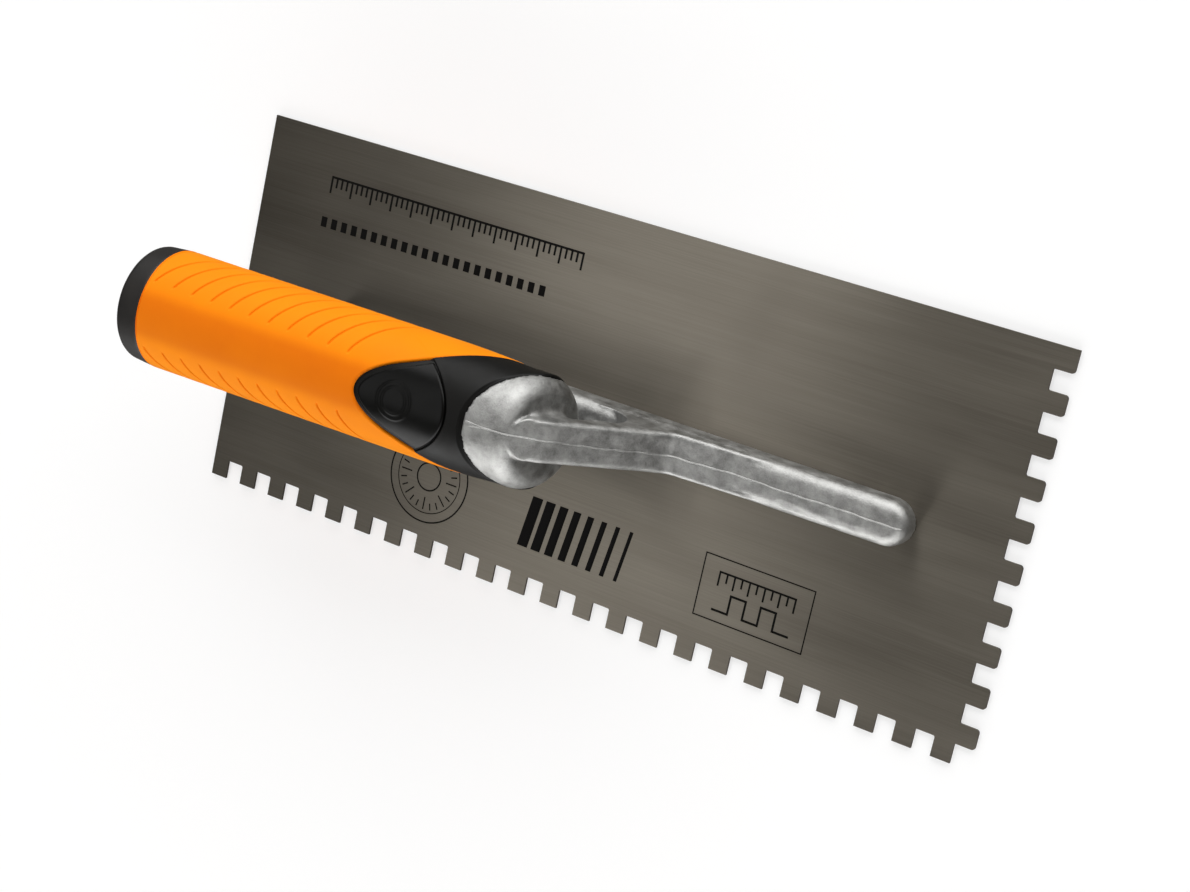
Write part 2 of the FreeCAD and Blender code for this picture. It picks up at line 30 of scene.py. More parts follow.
MM = 0.001
DEG = math.pi / 180
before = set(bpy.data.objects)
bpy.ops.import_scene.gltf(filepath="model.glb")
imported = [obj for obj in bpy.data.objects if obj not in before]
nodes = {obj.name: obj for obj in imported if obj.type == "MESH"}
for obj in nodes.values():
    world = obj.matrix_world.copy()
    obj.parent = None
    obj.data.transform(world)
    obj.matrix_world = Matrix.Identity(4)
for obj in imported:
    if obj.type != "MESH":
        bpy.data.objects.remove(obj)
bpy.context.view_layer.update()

# --- the handle's own frame and outline --------------------------------------------------------

TILT = 2.03 * DEG  # nose down
REAR = np.array([-137.2, 0.0, 45.2])  # the axis at the butt
AXIS = np.array([math.cos(TILT), 0.0, -math.sin(TILT)])
UP = np.array([math.sin(TILT), 0.0, math.cos(TILT)])
SIDE = np.array([0.0, 1.0, 0.0])

CAP_LENGTH = 9.0
CORE_RADIUS = 16.6
REAR_RADIUS = 18.75
GRIP_TAPER = 0.5
NECK_START = 110.0
NECK_LENGTH = 24.0
NECK_SLOPE = 0.166
NECK_CURVE = 0.884
NECK_RADIUS = 17.2
RIM_U = 141.7
RIM_SLOPE = math.tan(42.4 * DEG)
WINDOW_RADIUS = 18.3
PAD_REAR = 88.2
PAD_LENGTH = 32.5
ROUND_COLS = 288


def on_handle(u, radius, angle):
    """Points on the handle: u along its axis, angle from the top towards +Y."""
    u, radius, angle = np.broadcast_arrays(u, radius, angle)
    across = (radius * np.sin(angle))[..., None] * SIDE
    above = (radius * np.cos(angle))[..., None] * UP
    return REAR + u[..., None] * AXIS + across + above


def smoothstep(low, high, x):
    t = np.clip((np.asarray(x, float) - low) / (high - low), 0.0, 1.0)
    return t * t * (3 - 2 * t)


def skin(u):
    """The handle's outer radius at u."""
    u = np.asarray(u, float)
    taper = REAR_RADIUS - GRIP_TAPER * (u - CAP_LENGTH) / (NECK_START - CAP_LENGTH)
    t = np.clip((u - NECK_START) / NECK_LENGTH, 0.0, 1.0)
    neck = REAR_RADIUS - GRIP_TAPER - NECK_SLOPE * t - NECK_CURVE * t * t
    return np.where(u < NECK_START, taper, neck)


def arc_points(a, b, c, count):
    """Points along the circle from a through b to c."""
    a, b, c = (np.array(p, float) for p in (a, b, c))
    system = 2 * np.array([b - a, c - a])
    centre = np.linalg.solve(system, [b @ b - a @ a, c @ c - a @ a])
    turn = [math.atan2(*(p - centre)[::-1]) for p in (a, b, c)]
    while turn[1] - turn[0] > math.pi:
        turn = [turn[0], turn[1] - 2 * math.pi, turn[2] - 2 * math.pi]
    while turn[1] - turn[0] < -math.pi:
        turn = [turn[0], turn[1] + 2 * math.pi, turn[2] + 2 * math.pi]
    angles = np.linspace(turn[0], turn[2], count)
    radius = np.linalg.norm(a - centre)
    return centre + radius * np.stack([np.cos(angles), np.sin(angles)], -1)


# The sleeve's slanted front edge and the handle's front rim, both as (u, height over the axis).
WINDOW_ARC = arc_points((100.5, 15.0), (114.5, 9.0), (125.5, 0.0), 60)
WINDOW_LINE = np.vstack([[(85.0, 19.6)], WINDOW_ARC, [(140.1, -21.0)]])
RIM_ARC = arc_points((RIM_U - 4 * RIM_SLOPE, 4.0), (RIM_U - 0.9, 0.0), (RIM_U + 0.2, -4.0), 30)
RIM_LINE = np.vstack([[(RIM_U - 22 * RIM_SLOPE, 22.0)], RIM_ARC, [(RIM_U + 0.2, -22.0)]])


def window_edge(angle):
    """u of the sleeve's slanted front edge at an angle from the top."""
    u = np.linspace(85.0, 140.0, 5501)
    height = np.interp(u, WINDOW_LINE[:, 0], WINDOW_LINE[:, 1])
    return np.interp(-np.cos(angle), -height / skin(u), u)


def window_side(angle, margin):
    """u of the window's edge drawn in by a margin, at an angle from the top."""
    a = np.linspace(0, 110 * DEG, 800)
    u = window_edge(a)
    around = skin(u) * a
    du, ds = np.gradient(u), np.gradient(around)
    length = np.hypot(du, ds)
    drawn_u = u + margin * ds / length
    drawn_a = (around - margin * du / length) / skin(drawn_u)
    return np.interp(np.abs(angle), drawn_a, drawn_u)


def rim_edge(angle, radius=NECK_RADIUS):
    """u of the front rim at an angle from the top: slanted above the axis, upright below it."""
    return np.interp(-radius * np.cos(angle), -RIM_LINE[:, 1], RIM_LINE[:, 0])


def pad_front(angle):
    """u of the arc that closes the thumb pad at the front."""
    y = 18.1 * np.sin(np.clip(np.abs(angle), 0, math.pi / 2)) / WINDOW_RADIUS
    return PAD_REAR + PAD_LENGTH * np.sqrt(np.clip(1 - y * y, 0, 1))


# --- meshes ------------------------------------------------------------------------------------


def new_object(name, points, faces, material=None, smooth=True):
    mesh = bpy.data.meshes.new(name)
    mesh.from_pydata((np.asarray(points, float) * MM).tolist(), [], faces)
    mesh.validate()
    mesh.polygons.foreach_set("use_smooth", [smooth] * len(mesh.polygons))
    made = bpy.data.objects.new(name, mesh)
    bpy.context.scene.collection.objects.link(made)
    if material:
        mesh.materials.append(material)
    return made


def quads(rows, cols, first=0, wrap_rows=False, wrap_cols=True):
    """Faces of a grid of points, row by row."""
    i = np.arange(rows if wrap_rows else rows - 1)[:, None]
    j = np.arange(cols if wrap_cols else cols - 1)[None, :]
    below, right = (i + 1) % rows, (j + 1) % cols
    corners = [i * cols + j, i * cols + right, below * cols + right, below * cols + j]
    stacked = np.stack(np.broadcast_arrays(*corners), -1).reshape(-1, 4) + first
    return stacked.tolist()


def ring_object(name, grid, material):
    """A closed ring-shaped surface: the grid wraps both ways."""
    faces = quads(*grid.shape[:2], wrap_rows=True)
    return new_object(name, grid.reshape(-1, 3), faces, material)


def capped_object(name, grid, material):
    """A closed surface from rows of rings, with a point at the middle of each end."""
    rows, cols = grid.shape[:2]
    points = np.vstack([grid.reshape(-1, 3), grid[0].mean(0), grid[-1].mean(0)])
    faces = quads(rows, cols)
    start, end, last = rows * cols, rows * cols + 1, (rows - 1) * cols
    for j in range(cols):
        k = (j + 1) % cols
        faces.append([start, k, j])
        faces.append([end, last + j, last + k])
    return new_object(name, points, faces, material)


def slab_object(name, top, bottom, material):
    """A closed sheet between two grids of the same shape."""
    rows, cols = top.shape[:2]
    count = rows * cols
    points = np.vstack([top.reshape(-1, 3), bottom.reshape(-1, 3)])
    faces = quads(rows, cols, wrap_cols=False)
    faces += [f[::-1] for f in quads(rows, cols, first=count, wrap_cols=False)]
    rim = list(range(cols))
    rim += [i * cols + cols - 1 for i in range(1, rows)]
    rim += [(rows - 1) * cols + j for j in range(cols - 2, -1, -1)]
    rim += [i * cols for i in range(rows - 2, 0, -1)]
    for a, b in zip(rim, rim[1:] + rim[:1]):
        faces.append([b, a, a + count, b + count])
    return new_object(name, points, faces, material)


class Rings:
    """Rows of points round the handle, one ring after another."""

    def __init__(self, cols=ROUND_COLS):
        self.angle = np.linspace(-math.pi, math.pi, cols, endpoint=False)
        self.rows = []

    def add(self, u, radius):
        self.rows.append(on_handle(u, radius, self.angle))

    def grid(self):
        return np.array(self.rows)


# --- materials ---------------------------------------------------------------------------------


def srgb(*channels):
    """An 8-bit display colour as linear RGBA."""
    shares = [c / 255 for c in channels]
    linear = [s / 12.92 if s <= 0.04045 else ((s + 0.055) / 1.055) ** 2.4 for s in shares]
    return (*linear, 1.0)


class Nodes:
    """One material's node tree, built round its Principled shader."""

    def __init__(self, name, **sockets):
        self.material = bpy.data.materials.new(name)
        self.material.use_nodes = True
        self.tree = self.material.node_tree
        self.shader = self.tree.nodes["Principled BSDF"]
        for socket, value in sockets.items():
            self.shader.inputs[socket.replace("_", " ")].default_value = value
        self.place = self.tree.nodes.new("ShaderNodeTexCoord").outputs["Object"]

    def node(self, kind, inputs=None, **settings):
        made = self.tree.nodes.new(kind)
        for key, value in settings.items():
            setattr(made, key, value)
        for key, value in (inputs or {}).items():
            self.feed(made.inputs[key], value)
        return made

    def feed(self, socket, value):
        if isinstance(value, bpy.types.NodeSocket):
            self.tree.links.new(value, socket)
        else:
            socket.default_value = value

    def noise(self, scale, stretch=(1, 1, 1), detail=3.0, roughness=0.55):
        """Noise of about scale features per millimetre, stretched along the axes."""
        inputs = {"Vector": self.place, "Scale": [s * scale * 1000 for s in stretch]}
        scaled = self.node("ShaderNodeMapping", inputs).outputs[0]
        inputs = {"Vector": scaled, "Scale": 1.0, "Detail": detail, "Roughness": roughness}
        return self.node("ShaderNodeTexNoise", inputs).outputs[0]

    def ramp(self, value, *stops):
        """A colour ramp: stops are (position, colour or grey)."""
        made = self.node("ShaderNodeValToRGB", {"Fac": value})
        points = made.color_ramp.elements
        for point, (position, colour) in zip(points, stops):
            point.position = position
            point.color = colour if hasattr(colour, "__len__") else (colour, colour, colour, 1.0)
        return made.outputs[0]

    def mix(self, factor, first, second):
        made = self.node("ShaderNodeMix", data_type="RGBA")
        self.feed(made.inputs[0], factor)
        self.feed(made.inputs[6], first)
        self.feed(made.inputs[7], second)
        return made.outputs[2]

    def add(self, first, second, weight=1.0):
        inputs = {0: second, 1: weight, 2: first}
        return self.node("ShaderNodeMath", inputs, operation="MULTIPLY_ADD").outputs[0]

    def bump(self, height, distance, strength=1.0):
        """Bump from a height of 0 to 1 that stands for distance millimetres."""
        inputs = {"Height": height, "Distance": distance * MM, "Strength": strength}
        self.set("Normal", self.node("ShaderNodeBump", inputs).outputs[0])

    def set(self, socket, value):
        self.feed(self.shader.inputs[socket], value)


def orange_rubber():
    """Soft rubber: its flanks are duller than the smooth strip on top and painted paler, a painted light
    for the side light that falls on them.
    """
    n = Nodes("orange_rubber", Specular_IOR_Level=0.08, Sheen_Weight=0.5, Sheen_Roughness=0.5)
    n.set("Sheen Tint", srgb(255, 205, 70))
    patches = n.noise(0.06, detail=4)
    # Painted light: a darker copy of the orange for the smooth strip on top, and a paler lit copy for
    # the flanks.
    shaded_top_colour = n.ramp(patches, (0.3, srgb(227, 109, 0)), (0.7, srgb(232, 115, 0)))
    lit_flank_colour = n.ramp(patches, (0.3, srgb(243, 130, 2)), (0.7, srgb(248, 136, 3)))
    sideways = n.node("ShaderNodeSeparateXYZ", {0: n.place}).outputs[1]
    off_middle = n.node("ShaderNodeMath", {0: sideways}, operation="ABSOLUTE").outputs[0]
    edge = {"Value": off_middle, "From Min": 4.5 * MM, "From Max": 9.0 * MM}
    lit_flank_and_dull_mask = n.node("ShaderNodeMapRange", edge, interpolation_type="SMOOTHSTEP").outputs[0]
    # The mask by distance across Y lays the painted light on the flanks, and below it adds their extra
    # roughness.
    n.set("Base Color", n.mix(lit_flank_and_dull_mask, shaded_top_colour, lit_flank_colour))
    n.set("Roughness", n.add(n.ramp(patches, (0.3, 0.5), (0.7, 0.6)), lit_flank_and_dull_mask, 0.08))
    n.bump(n.noise(3.0, detail=2), 0.02, 0.5)
    return n.material


def black_rubber(name, low, high, roughness, grain_depth=0.02, specular=0.3):
    """A black moulding whose colour and roughness drift between two values."""
    n = Nodes(name, Specular_IOR_Level=specular)
    patches = n.noise(0.12, detail=4)
    n.set("Base Color", n.ramp(patches, (0.3, low), (0.7, high)))
    n.set("Roughness", n.ramp(patches, (0.3, roughness[0]), (0.7, roughness[1])))
    n.bump(n.noise(3.0, detail=3), grain_depth, 0.6)
    return n.material


def cast_aluminium():
    n = Nodes("cast_aluminium", Metallic=1.0)
    patches = n.noise(0.25, detail=6, roughness=0.65)
    fine = n.noise(2.2, detail=4, roughness=0.7)
    tone = n.add(patches, fine, 0.35)
    n.set("Base Color", n.ramp(tone, (0.45, srgb(132, 132, 130)), (0.85, srgb(182, 182, 180))))
    n.set("Roughness", n.ramp(tone, (0.45, 0.42), (0.85, 0.58)))
    n.bump(n.add(patches, fine, 0.9), 0.17, 0.7)
    return n.material


def brushed_steel():
    """Steel brushed along X: reflections spread across it."""
    n = Nodes("brushed_steel", Metallic=1.0, Anisotropic=1.0)
    streaks = n.noise(1.0, (0.02, 2.6, 1.0), detail=4, roughness=0.7)
    broad = n.noise(0.03, (0.25, 1.6, 1.0), detail=3)
    tone = n.add(broad, streaks, 0.6)
    n.set("Base Color", n.ramp(tone, (0.5, srgb(93, 88, 80)), (1.1, srgb(112, 107, 98))))
    n.set("Roughness", n.ramp(tone, (0.55, 0.33), (1.05, 0.4)))
    across = n.node("ShaderNodeTangent", direction_type="RADIAL", axis="X")
    n.set("Tangent", across.outputs[0])
    n.bump(streaks, 0.01, 0.3)
    return n.material


def zinc_steel():
    n = Nodes("zinc_steel", Metallic=1.0)
    tone = n.noise(0.5, detail=4)
    n.set("Base Color", n.ramp(tone, (0.3, srgb(150, 152, 156)), (0.7, srgb(190, 192, 194))))
    n.set("Roughness", n.ramp(tone, (0.3, 0.28), (0.7, 0.42)))
    n.bump(n.noise(2.0, detail=3), 0.02, 0.5)
    return n.material


def ink():
    n = Nodes("mark_ink", Specular_IOR_Level=0.08)
    tone = n.noise(2.0, detail=4)
    n.set("Base Color", n.ramp(tone, (0.35, srgb(5, 5, 4)), (0.75, srgb(12, 11, 10))))
    n.set("Roughness", n.ramp(tone, (0.3, 0.4), (0.7, 0.6)))
    n.bump(n.noise(4.0), 0.01, 0.5)
    return n.material


# --- handle pieces -----------------------------------------------------------------------------

CLEARANCE = 0.02  # between the sleeve and what it sits on
SEAM_GROOVE = 0.5
SLEEVE_LIP = 0.7
GROOVES = 11
GROOVE_FIRST = 11.1
GROOVE_PITCH = 7.3
GROOVE_DEPTH = 0.6
GROOVE_HALF = 0.5
GROOVE_RUN = 1.2  # how far the finer rows reach behind a groove
STEP_DEPTH = 0.12  # the shallow ramp in front of a groove
STEP_LENGTH = 3.0
HALF_ACROSS = [0.13, 0.26, 0.38, 0.52, 0.8]
GROOVE_ROWS = [-1.2] + [-v for v in HALF_ACROSS[::-1]] + [0] + HALF_ACROSS + [1.3, 2.2, 3.1, 4.2, 5.2]


def sweep(angle):
    """How far forward a groove has run at an angle from the top."""
    turned = np.clip(np.abs(angle) / DEG, 30.0, 120.0) - 30.0
    return 8.6 * (turned / 47.0) ** 1.25


def groove_depth(v, angle):
    """How far the sleeve's skin lies below the plain taper, at v (u without the sweep)."""
    k = np.clip(np.round((v - GROOVE_FIRST) / GROOVE_PITCH), 0, GROOVES - 1)
    off = v - GROOVE_FIRST - k * GROOVE_PITCH
    inner = 33.0 - 0.5 * k
    a = np.abs(angle) / DEG
    fade = smoothstep(inner - 1.2, inner + 1.2, a) * (1 - smoothstep(108, 122, a))
    line = np.where(np.abs(off) < GROOVE_HALF, 0.5 + 0.5 * np.cos(np.pi * off / GROOVE_HALF), 0)
    ease = smoothstep(inner - 1.2, inner + 14, a) * (1 - smoothstep(104, 122, a))
    slope = np.where((off > 0) & (off < STEP_LENGTH), 1 - off / STEP_LENGTH, 0.0)
    ramp = slope * smoothstep(0, GROOVE_HALF, off)
    return GROOVE_DEPTH * fade * line + STEP_DEPTH * ease * ramp


def slant(angle, edge):
    """How many times longer a step along u is than one square to the window's edge."""
    run = np.gradient(edge, angle[1] - angle[0]) / 18.2
    return np.sqrt(1 + run * run)


def add_grooves(rings, swept):
    """Rows over the chevron grooves, close together where the skin dips."""
    for k in range(GROOVES):
        for off in GROOVE_ROWS:
            if k == GROOVES - 1 and off > GROOVE_RUN:
                continue
            v = GROOVE_FIRST + k * GROOVE_PITCH + off
            u = v + swept
            rings.add(u, skin(u) - groove_depth(v, rings.angle))


def grip_sleeve(material):
    """The soft sleeve: from a fine groove at the cap to its slanted rounded lip, and back inside."""
    rings = Rings()
    angle = rings.angle
    edge = window_edge(angle)
    lip = SLEEVE_LIP * np.minimum(slant(angle, edge), 4.0)
    swept = sweep(angle)
    rear = CAP_LENGTH + CLEARANCE
    inner = CORE_RADIUS + CLEARANCE
    rings.add(rear, inner)
    for phi in np.linspace(math.pi / 2, 0, 6):
        drop = SEAM_GROOVE * (1 - math.sin(phi))
        rings.add(rear + drop, skin(rear + drop) - drop)
    start = rear + SEAM_GROOVE
    for t in np.linspace(0, 1, 10)[1:-1]:
        u = start + t * (GROOVE_FIRST - GROOVE_RUN - start + swept)
        rings.add(u, skin(u))
    add_grooves(rings, swept)
    start = GROOVE_FIRST + (GROOVES - 1) * GROOVE_PITCH + HALF_ACROSS[-1] + swept
    top = 1 - smoothstep(66, 76, np.abs(angle) / DEG)
    for t in np.linspace(0, 1, 46)[1:]:
        u = start + t * (edge - lip - start)
        crease = np.exp(-(((u - pad_front(angle)) / 0.42) ** 2)) * top
        rings.add(u, skin(u) - 0.16 * crease)
    for phi in np.linspace(0, math.pi / 2, 7)[1:]:
        u = edge - lip + lip * math.sin(phi)
        rings.add(u, skin(u) - SLEEVE_LIP * (1 - math.cos(phi)))
    rings.add(edge, inner)
    for t in np.linspace(0, 1, 14)[1:-1]:
        rings.add(edge + t * (rear - edge), inner)
    return ring_object("grip_sleeve_skin", rings.grid(), material)


CORE_CLEARANCE = 0.05  # the hidden part of the core's skin inside its CAD size
WINDOW_RECESS = 0.75
CORE_DROP = 0.1
ARC_GAP = 0.28
RIM_GAP = 0.1
RIM_ROUND = 0.9


def handle_front(material):
    """The hard core: under the sleeve, round the thumb pad and on to the slanted rim."""
    rings = Rings()
    angle = rings.angle
    edge = window_edge(angle)
    hidden = CORE_RADIUS - CORE_CLEARANCE
    rear = CAP_LENGTH + CORE_CLEARANCE
    for t in np.linspace(0, 1, 6):
        rings.add(rear + t * (edge - 3 - CAP_LENGTH), hidden)
    arc = np.maximum(pad_front(angle) + ARC_GAP, edge)
    inside = smoothstep(0.0, 0.6, arc - edge)
    low = WINDOW_RECESS * inside + CORE_DROP + 0.02
    rings.add(edge - 0.6, skin(edge) - low - 0.4)
    for t in np.linspace(0, 1, 24):
        u = edge + t * (arc - edge)
        rings.add(u, skin(u) - low)
    for step, drop in ((0.02, 0.35), (0.06, 0.16), (0.14, 0.05), (0.3, 0.01)):
        u = arc + step
        rings.add(u, skin(u) - CORE_DROP - drop * inside - 0.02 * (1 - inside))
    begin = arc + 0.5
    end = rim_edge(angle) - RIM_GAP - RIM_ROUND
    for t in np.linspace(0, 1, 40):
        u = begin + t * (end - begin)
        rings.add(u, skin(u) - CORE_DROP * (1 - smoothstep(0, 6, u - arc)))
    for phi in np.linspace(0, math.pi / 2, 8)[1:]:
        radius = NECK_RADIUS - RIM_ROUND * (1 - math.cos(phi))
        rings.add(rim_edge(angle, radius) - RIM_GAP - RIM_ROUND * (1 - math.sin(phi)), radius)
    for radius in (14.0, 9.0, 4.0):
        rings.add(rim_edge(angle, radius) - 0.15, radius)
    return capped_object("handle_core_skin", rings.grid(), material)


PAD_GAP = 0.25
PAD_MARGIN = 1.7
PAD_ROUND = 0.75
PAD_BORDER_ROWS = [0, 0.08, 0.2, 0.36, 0.56, 0.8]
EMBLEM_U = 103.5


def pad_rows(rear, front):
    """u of each row of the thumb pad, close together along its two borders."""
    near = PAD_BORDER_ROWS
    share = (front - rear) * 0.1
    steps = [np.minimum(step, share * (i + 1) / len(near)) for i, step in enumerate(near)]
    start, end = rear + np.minimum(near[-1], share), front - np.minimum(near[-1], share)
    middle = [start + t * (end - start) for t in np.linspace(0, 1, 90)[1:-1]]
    return [rear + s for s in steps] + middle + [front - s for s in reversed(steps)]


def thumb_pad(material):
    """The insert in the window: a pointed leaf with rounded edges and two plain raised rings."""
    fan = np.linspace(0, 75 * DEG, 1500)
    room = pad_front(fan) - PAD_GAP - window_side(fan, PAD_MARGIN)
    widest = fan[np.argmax(room < 0.5)]
    angle = np.linspace(-widest, widest, 111)
    across = WINDOW_RADIUS * angle
    rear, front = window_side(angle, PAD_MARGIN), pad_front(angle) - PAD_GAP
    border = np.vstack([np.stack([across, rear], -1), np.stack([across, front], -1)])
    top, base = [], []
    for u in pad_rows(rear, front):
        here = np.stack([across, u], -1)
        away = np.sqrt(((here[:, None, :] - border[None, :, :]) ** 2).sum(-1)).min(1)
        inside = np.clip(1 - away / PAD_ROUND, 0, 1)
        drop = PAD_ROUND * (1 - np.sqrt(1 - inside * inside * 0.98))
        spot = np.hypot(across, u - EMBLEM_U)
        rings = sum(np.exp(-(((spot - r) / 0.28) ** 2)) for r in (5.6, 4.0))
        top.append(on_handle(u, skin(u) - drop + 0.14 * rings - 0.05, angle))
        base.append(on_handle(u, CORE_RADIUS + 0.3, angle))
    return slab_object("thumb_pad_skin", np.array(top), np.array(base), material)


def end_cap(material):
    """The cap: a slightly dished end, a rounded corner and a wall that meets the sleeve."""
    rings = Rings(144)
    dish = [(0.35, 4.0), (0.3, 9.0), (0.1, 13.5), (0.02, 15.4)]
    turns = np.linspace(0, math.pi / 2, 9)
    corner = [(2.3 * (1 - math.cos(t)), 15.9 + 2.3 * math.sin(t)) for t in turns]
    wall = [(4.0, 18.33), (6.0, 18.5), (8.0, 18.66), (8.6, 18.7)]
    seam = [(8.85, 18.62), (8.97, 18.45), (8.98, 17.0), (8.98, 10.0)]
    for u, radius in dish + corner + wall + seam:
        rings.add(u, radius)
    return capped_object("end_cap_skin", rings.grid(), material)


# --- bracket -----------------------------------------------------------------------------------

CASTING_VOXEL = 0.42
EDGE_ROUNDS = 5
CREASE_POINT = (8.1, 40.0)  # x and z where the arm's flank meets the collar, half way up
CREASE_LEAN = 0.21
CREASE_Y = 6.8
CREASE_ROUNDS = 210
ARM_BEND = (13.5, 44.3)  # x and z where the arm's flat front starts down to the knee
ARM_NORMAL = (0.859, 0.512)
SHOULDER_Y = 6.3
SHOULDER_ROUNDS = 45


def cad_copy(node, name):
    made = bpy.data.objects.new(name, nodes[node].data.copy())
    bpy.context.scene.collection.objects.link(made)
    made.data.materials.clear()
    return made


def settle(made):
    """Replaces an object's mesh by the one its modifiers give."""
    bpy.context.view_layer.update()
    graph = bpy.context.evaluated_depsgraph_get()
    mesh = bpy.data.meshes.new_from_object(made.evaluated_get(graph))
    made.modifiers.clear()
    made.data = mesh


def coordinates(made):
    """The x, y and z of an object's vertices in millimetres."""
    points = np.empty(len(made.data.vertices) * 3)
    made.data.vertices.foreach_get("co", points)
    return (points.reshape(-1, 3) / MM).T


def blend(made, name, weight, iterations):
    """Smooths an object's vertices, each by its weight to the nearest tenth."""
    group = made.vertex_groups.new(name=name)
    for step in range(1, 11):
        chosen = np.nonzero(np.abs(weight * 10 - step) <= 0.5)[0]
        if len(chosen):
            group.add(chosen.tolist(), step / 10, "REPLACE")
    smooth = made.modifiers.new(name, "SMOOTH")
    smooth.factor = 0.5
    smooth.iterations = iterations
    smooth.vertex_group = group.name
    settle(made)


def blend_crease(made):
    """Fills the crease between the arm's flank and the collar, on the +Y side only."""
    x, y, z = coordinates(made)
    off_x = x - CREASE_POINT[0] + CREASE_LEAN * (z - CREASE_POINT[1])
    away = np.hypot(off_x, y - CREASE_Y)
    part_way = smoothstep(26, 30, z) * (1 - smoothstep(46, 50, z))
    blend(made, "crease", (1 - smoothstep(2.0, 4.5, away)) * part_way, CREASE_ROUNDS)


def blend_shoulders(made):
    """Rounds the two long edges of the arm's flat front."""
    x, y, z = coordinates(made)
    off_front = (x - ARM_BEND[0]) * ARM_NORMAL[0] + (z - ARM_BEND[1]) * ARM_NORMAL[1]
    away = np.hypot(off_front, np.abs(y) - SHOULDER_Y)
    along = smoothstep(14, 18, z) * (1 - smoothstep(43, 48, z))
    blend(made, "shoulders", (1 - smoothstep(1.4, 3.4, away)) * along, SHOULDER_ROUNDS)


def bracket_casting(material):
    """The CAD bracket with its junctions blended, as a casting has them, and its foot left sharp."""
    made = cad_copy("bracket", "bracket_casting")
    remesh = made.modifiers.new("remesh", "REMESH")
    remesh.mode = "VOXEL"
    remesh.voxel_size = CASTING_VOXEL * MM
    settle(made)
    height = coordinates(made)[2]
    blend(made, "edges", smoothstep(1.0, 2.6, height), EDGE_ROUNDS)
    blend_crease(made)
    blend_shoulders(made)
    made.data.polygons.foreach_set("use_smooth", [True] * len(made.data.polygons))
    made.data.materials.append(material)
    return made


FLASH_STEP = 0.4
FLASH_PROFILE = ((-0.34, -0.25), (-0.24, -0.02), (-0.1, 0.17), (0.1, 0.17), (0.24, -0.02), (0.34, -0.25))
FLASH_DRIFT = ((-11, 3, 13.5, 30, 50, 100), (0.9, 0.9, 0.3, -0.6, -0.2, 0))


def casting_crest(tree, first, last, side):
    """The casting's top line from first to last along X: x and z every FLASH_STEP of its length."""
    crest = []
    for x in np.arange(first, last, 0.05):
        hit = tree.ray_cast(Vector((x * MM, side(x) * MM, 0.2)), Vector((0, 0, -1)))[0]
        if hit:
            crest.append((x, hit.z / MM))
    crest = np.array(crest)
    steps = np.hypot(*np.diff(crest, axis=0).T)
    length = np.concatenate([[0], np.cumsum(steps)])
    along = np.arange(0, length[-1], FLASH_STEP)
    line = np.stack([np.interp(along, length, crest[:, k]) for k in (0, 1)], -1)
    for _ in range(3):
        line[1:-1] = (line[:-2] + 2 * line[1:-1] + line[2:]) / 4
    return line, along, length[-1]


def parting_line(name, tree, first, last, side, material):
    """The flash along the casting's crest: a thin ridge on its surface, side(x) off the middle."""
    line, along, whole = casting_crest(tree, first, last, side)
    tangent = np.gradient(line, axis=0)
    tangent /= np.linalg.norm(tangent, axis=1)[:, None]
    normal = np.stack([-tangent[:, 1], tangent[:, 0]], -1)
    middle = np.array([side(x) for x in line[:, 0]])
    middle += 0.12 * np.sin(along * 0.21) + 0.07 * np.sin(along * 0.67 + 1.0)
    size = 0.8 + 0.25 * np.sin(along * 0.33 + 0.5) * np.sin(along * 0.11)
    taper = smoothstep(0, 1.2, along) * smoothstep(0, 1.2, whole - along)
    rows = []
    for y, height in FLASH_PROFILE:
        lift = height * size * taper if height > 0 else np.full(len(line), height)
        at = line + normal * lift[:, None]
        rows.append(np.stack([at[:, 0], middle + y * (0.6 + 0.4 * taper), at[:, 1]], -1))
    return capped_object(name, np.array(rows).transpose(1, 0, 2), material)


def flash_side(x):
    return float(np.interp(x, *FLASH_DRIFT))


def branch_side(x):
    return flash_side(x) - 1.1 * float(np.interp(x, (-8.6, -2.6), (1, 0)))


def parting_lines(casting, material):
    mesh = casting.data
    tree = BVHTree.FromPolygons([v.co for v in mesh.vertices], [p.vertices for p in mesh.polygons])
    return (
        parting_line("parting_flash", tree, -10.4, 104.6, flash_side, material),
        parting_line("parting_branch", tree, -8.6, -2.2, branch_side, material),
    )


# --- printed marks -----------------------------------------------------------------------------

INK_BASE = 0.004
INK_LIFT = 0.02
BLADE_TOP = 0.8


def bar_mark(x0, y0, x1, y1, lean=0.0):
    """The corners of a printed bar from (x0, y0) to (x1, y1), its far side moved along X by lean."""
    return [(x0, y0), (x1, y0), (x1 + lean, y1), (x0 + lean, y1)]


def ring_marks(x, y, radius, width, steps=72):
    """A printed circle as short pieces."""
    turns = np.linspace(0, 2 * math.pi, steps + 1)
    inner, outer = radius - width / 2, radius + width / 2
    pieces = []
    for a, b in zip(turns[:-1], turns[1:]):
        corners = [(inner, a), (outer, a), (outer, b), (inner, b)]
        pieces.append([(x + r * math.cos(t), y + r * math.sin(t)) for r, t in corners])
    return pieces


def frame_marks(x0, y0, x1, y1, width):
    """A printed rectangle's four sides."""
    return [
        bar_mark(x0, y0, x1, y0 + width),
        bar_mark(x0, y1 - width, x1, y1),
        bar_mark(x0, y0 + width, x0 + width, y1 - width),
        bar_mark(x1 - width, y0 + width, x1, y1 - width),
    ]


def scale_marks():
    """A ruler and a row of dashes near the plain long edge."""
    left, low, pitch, line = -112.0, 46.0, 1.985, 0.7
    marks = [bar_mark(left, low, left + 96.0, low + line)]
    for i in range(49):
        tall = 2.8 if i % 4 else 4.8
        marks.append(bar_mark(left + pitch * i, low - tall, left + line + pitch * i, low))
    for i in range(22):
        marks.append(bar_mark(left - 1 + 4 * i, 30.2, left + 1.2 + 4 * i, 33.4))
    return marks


